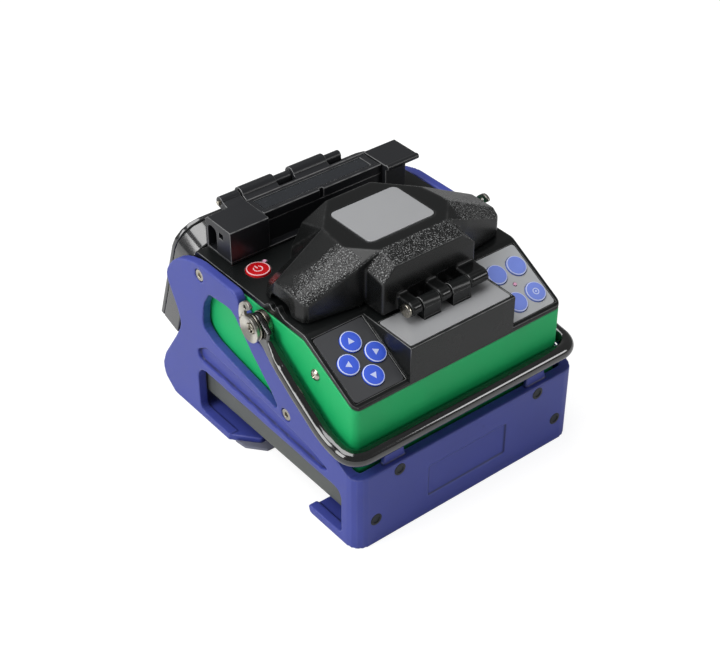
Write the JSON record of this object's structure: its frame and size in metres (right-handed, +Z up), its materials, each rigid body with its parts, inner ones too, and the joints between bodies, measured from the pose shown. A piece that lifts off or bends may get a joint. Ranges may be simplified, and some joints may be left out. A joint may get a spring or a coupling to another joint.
{
  "type": "fiber fusion splicer",
  "caption": "Portable optical fibre fusion splicer with a hinged wind cover, a tube heater, a fold-up monitor, keypads and a carrying cradle with a swing handle.",
  "frame": {"origin": "middle of the footprint of the whole object, on the surface it stands on", "axes": "+X to the operator's right, +Y from the keypads back to the folded monitor, +Z up"},
  "size_m": [0.1492, 0.1724, 0.1273],
  "materials": {
    "blue_plastic": "semi-gloss moulded blue plastic, fine texture",
    "green_rubber": "matte green rubber",
    "black_plastic": "matte black plastic",
    "cover_plastic": "black plastic, pebble grain on the wings and satin on the top",
    "gloss_black": "polished black plastic",
    "grey_plastic": "matte dark grey plastic",
    "grey_rubber": "matte grey rubber",
    "panel_grey": "satin grey film with a pale border",
    "plate_silver": "satin silver plate, left bare",
    "key_blue": "satin blue keys with a pale ring",
    "power_red": "satin red with a pale ring",
    "lamp_lens": "frosted lens",
    "stainless": "turned stainless steel",
    "stage_aluminium": "machined aluminium",
    "groove_ceramic": "ground white ceramic",
    "window_glass": "smoked clear window",
    "screen_glass": "dark glossy display front",
    "board_green": "green solder mask"
  },
  "bodies": {
    "splicer": {"arc_supply": "grey_plastic", "cover_hinge_pin": "stainless", "cradle": "blue_plastic", "cradle_screw_left_front": "stainless", "cradle_screw_left_rear": "stainless", "cradle_screw_right_front": "stainless", "cradle_screw_right_rear": "stainless", "electrode_clamp_front": "black_plastic", "electrode_clamp_rear": "black_plastic", "electrode_front": "stainless", "electrode_rear": "stainless", "heater_base": "black_plastic", "heater_hinge_rod": "stainless", "heating_plate": "stage_aluminium", "keypad_panel_left": "panel_grey", "keypad_panel_right": "panel_grey", "lower_chassis": "grey_plastic", "main_board": "board_green", "monitor_hinge_rod": "stainless", "nose_plate": "plate_silver", "objective_front": "black_plastic", "objective_rear": "black_plastic", "pivot_collar_left": "stainless", "pivot_collar_right": "stainless", "pivot_knob_left": "stainless", "pivot_knob_right": "stainless", "pivot_plate_left": "stainless", "pivot_plate_right": "stainless", "power_lamp": "lamp_lens", "rest_foot_left": "grey_rubber", "rest_foot_right": "grey_rubber", "rubber_jacket": "green_rubber", "stage_base": "stage_aluminium", "status_lamp": "lamp_lens", "top_housing": "black_plastic", "v_groove_block": "groove_ceramic"},
    "battery": {"battery_pack": "black_plastic"},
    "wind_cover": {"wind_cover": "cover_plastic", "cover_plate": "plate_silver"},
    "heater_lid": {"heater_lid": "black_plastic", "heater_window": "window_glass", "heater_end_right": "black_plastic"},
    "heater_end": {"heater_end_left": "black_plastic"},
    "monitor": {"monitor_shell": "gloss_black", "monitor_bezel": "gloss_black", "monitor_screen": "screen_glass"},
    "carry_handle": {"carry_handle": "gloss_black"},
    "power_button": {"power_button": "power_red"},
    "key_up": {"key_up": "key_blue"},
    "key_right": {"key_right": "key_blue"},
    "key_left": {"key_left": "key_blue"},
    "key_down": {"key_down": "key_blue"},
    "key_rear_right": {"key_rear_right": "key_blue"},
    "key_front_right": {"key_front_right": "key_blue"},
    "key_rear_inner": {"key_rear_inner": "key_blue"},
    "key_front_inner": {"key_front_inner": "key_blue"},
    "fibre_clamp_left": {"fibre_clamp_left": "stage_aluminium"},
    "sheath_lid_left": {"sheath_lid_left": "stage_aluminium"},
    "fibre_clamp_right": {"fibre_clamp_right": "stage_aluminium"},
    "sheath_lid_right": {"sheath_lid_right": "stage_aluminium"}
  },
  "joints": [
    {"name": "battery_slide", "type": "slide", "parent": "splicer", "child": "battery", "axis": [0, 1, 0], "range_m": [0, 0.09]},
    {"name": "cover_hinge", "type": "hinge", "parent": "splicer", "child": "wind_cover", "pos_m": [0, -0.06021, 0.1043], "axis": [1, 0, 0], "range_deg": [0, 100]},
    {"name": "heater_lid_hinge", "type": "hinge", "parent": "splicer", "child": "heater_lid", "pos_m": [0, 0.05009, 0.118], "axis": [-1, 0, 0], "range_deg": [0, 95]},
    {"name": "heater_end_hinge", "type": "hinge", "parent": "splicer", "child": "heater_end", "pos_m": [-0.041, 0.05009, 0.118], "axis": [-1, 0, 0], "range_deg": [0, 95]},
    {"name": "monitor_hinge", "type": "hinge", "parent": "splicer", "child": "monitor", "pos_m": [0, 0.05953, 0.09374], "axis": [1, 0, 0], "range_deg": [0, 150]},
    {"name": "handle_swing", "type": "hinge", "parent": "splicer", "child": "carry_handle", "pos_m": [0, -0.01141, 0.0904], "axis": [-1, 0, 0], "range_deg": [0, 125]},
    {"name": "power_press", "type": "slide", "parent": "splicer", "child": "power_button", "axis": [0, 0, -1], "range_m": [0, 0.0008], "stiffness_N_per_m": 900, "springref_m": -0.0006},
    {"name": "key_up_press", "type": "slide", "parent": "splicer", "child": "key_up", "axis": [0, 0.4824, -0.876], "range_m": [0, 0.0008], "stiffness_N_per_m": 700, "springref_m": -0.0006},
    {"name": "key_right_press", "type": "slide", "parent": "splicer", "child": "key_right", "axis": [0, 0.4824, -0.876], "range_m": [0, 0.0008], "stiffness_N_per_m": 700, "springref_m": -0.0006},
    {"name": "key_left_press", "type": "slide", "parent": "splicer", "child": "key_left", "axis": [0, 0.4824, -0.876], "range_m": [0, 0.0008], "stiffness_N_per_m": 700, "springref_m": -0.0006},
    {"name": "key_down_press", "type": "slide", "parent": "splicer", "child": "key_down", "axis": [0, 0.4824, -0.876], "range_m": [0, 0.0008], "stiffness_N_per_m": 700, "springref_m": -0.0006},
    {"name": "key_rear_right_press", "type": "slide", "parent": "splicer", "child": "key_rear_right", "axis": [0, 0.4824, -0.876], "range_m": [0, 0.0008], "stiffness_N_per_m": 700, "springref_m": -0.0006},
    {"name": "key_front_right_press", "type": "slide", "parent": "splicer", "child": "key_front_right", "axis": [0, 0.4824, -0.876], "range_m": [0, 0.0008], "stiffness_N_per_m": 700, "springref_m": -0.0006},
    {"name": "key_rear_inner_press", "type": "slide", "parent": "splicer", "child": "key_rear_inner", "axis": [0, 0.4824, -0.876], "range_m": [0, 0.0008], "stiffness_N_per_m": 700, "springref_m": -0.0006},
    {"name": "key_front_inner_press", "type": "slide", "parent": "splicer", "child": "key_front_inner", "axis": [0, 0.4824, -0.876], "range_m": [0, 0.0008], "stiffness_N_per_m": 700, "springref_m": -0.0006},
    {"name": "fibre_clamp_left_hinge", "type": "hinge", "parent": "splicer", "child": "fibre_clamp_left", "pos_m": [-0.008, -0.00641, 0.1016], "axis": [-1, 0, 0], "range_deg": [0, 80]},
    {"name": "fibre_clamp_right_hinge", "type": "hinge", "parent": "splicer", "child": "fibre_clamp_right", "pos_m": [0.008, -0.00641, 0.1016], "axis": [-1, 0, 0], "range_deg": [0, 80]},
    {"name": "sheath_lid_left_hinge", "type": "hinge", "parent": "splicer", "child": "sheath_lid_left", "pos_m": [-0.03, -0.00711, 0.0952], "axis": [-1, 0, 0], "range_deg": [0, 85]},
    {"name": "sheath_lid_right_hinge", "type": "hinge", "parent": "splicer", "child": "sheath_lid_right", "pos_m": [0.03, -0.00711, 0.0952], "axis": [-1, 0, 0], "range_deg": [0, 85]}
  ]
}
